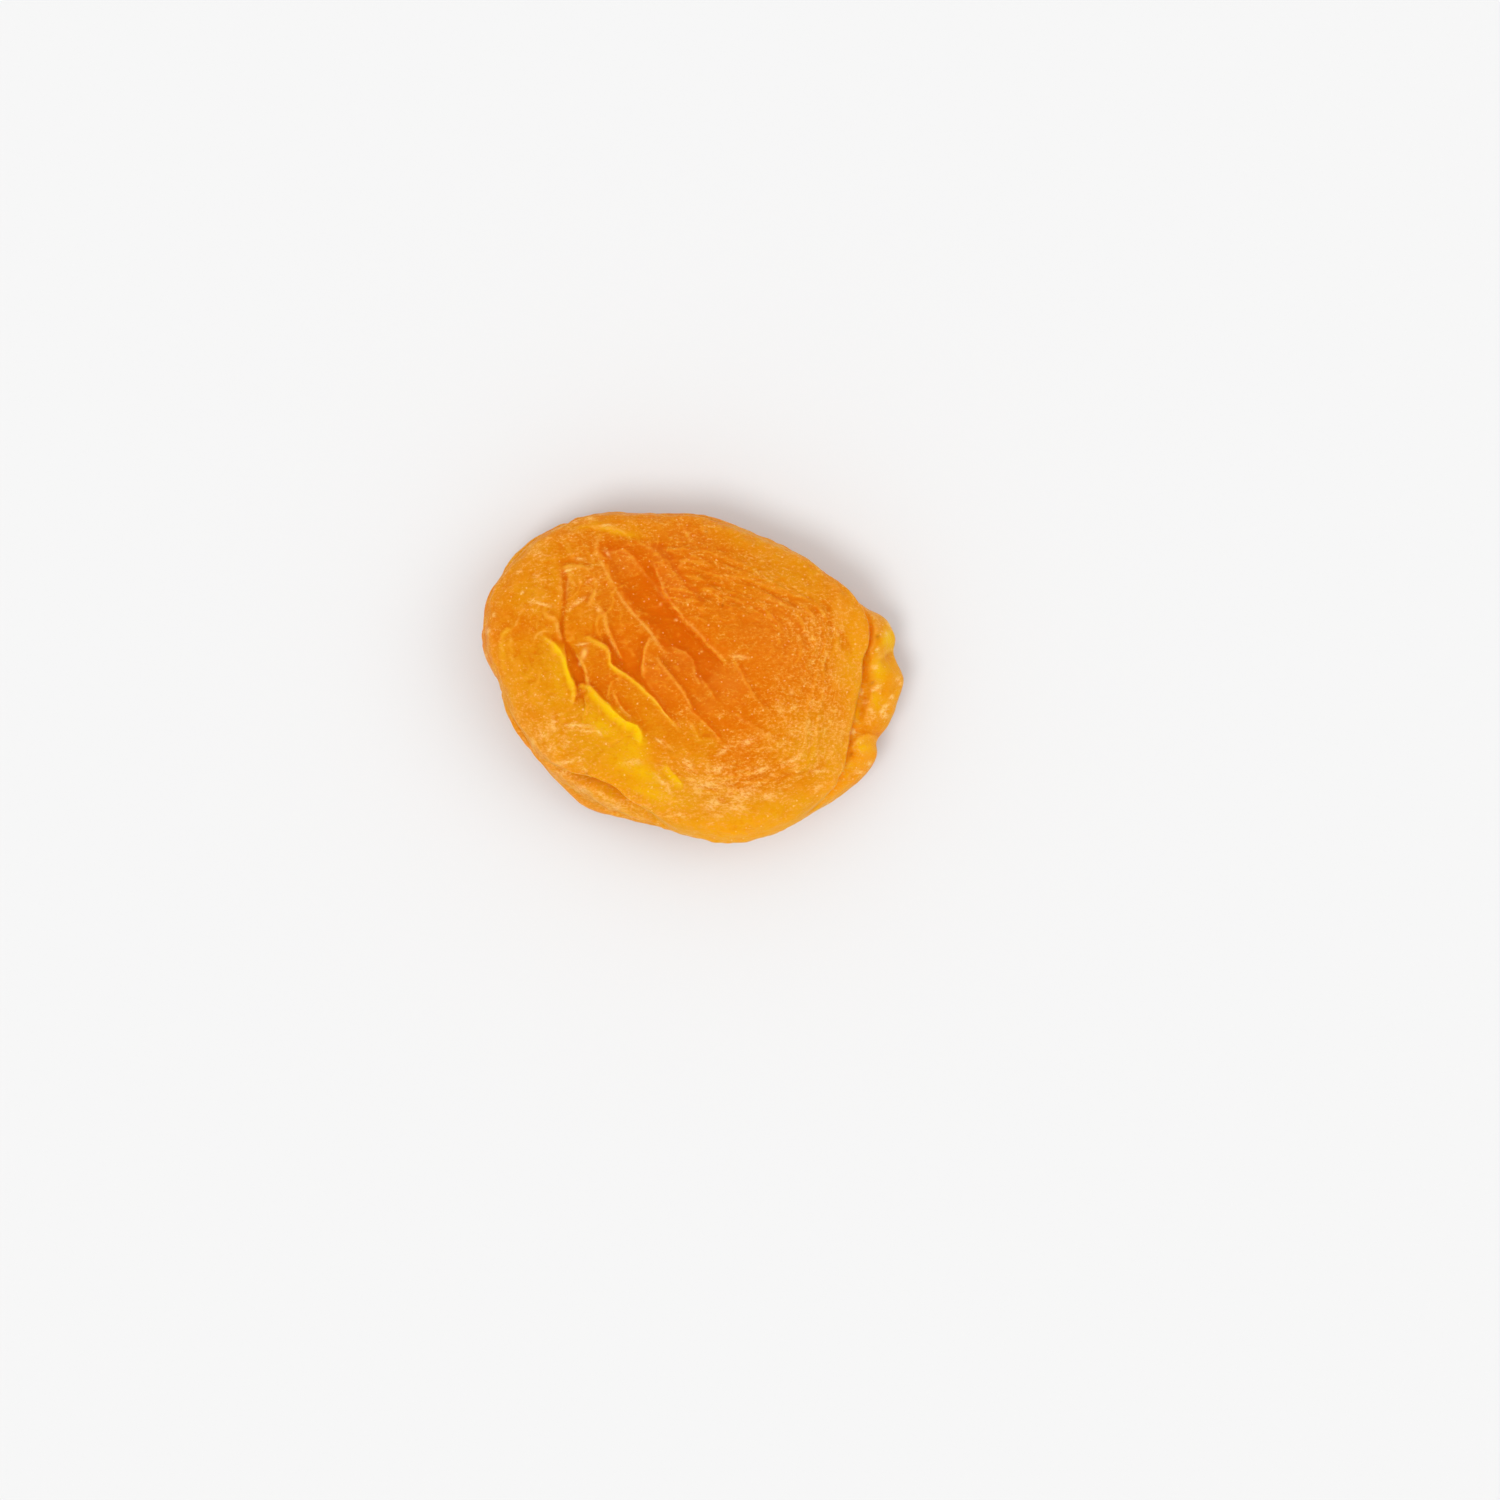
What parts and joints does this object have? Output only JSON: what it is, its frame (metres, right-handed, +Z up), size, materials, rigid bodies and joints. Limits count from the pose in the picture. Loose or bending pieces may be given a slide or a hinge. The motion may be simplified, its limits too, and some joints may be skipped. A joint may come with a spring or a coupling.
{
  "type": "dried apricot",
  "caption": "Whole pitted dried apricot: a flat wrinkled pillow of orange flesh with a torn yellow lip at its stem end, lying on its underside.",
  "frame": {"origin": "bottom centre of the fruit's bounding box, on the flat spot it rests on", "axes": "+X along the length towards the torn stem end, +Y across, +Z up through the thickness"},
  "size_m": [0.043, 0.0336, 0.0117],
  "materials": {
    "fruit_flesh": "satin"
  },
  "bodies": {
    "root": {"apricot": "fruit_flesh"}
  },
  "joints": []
}
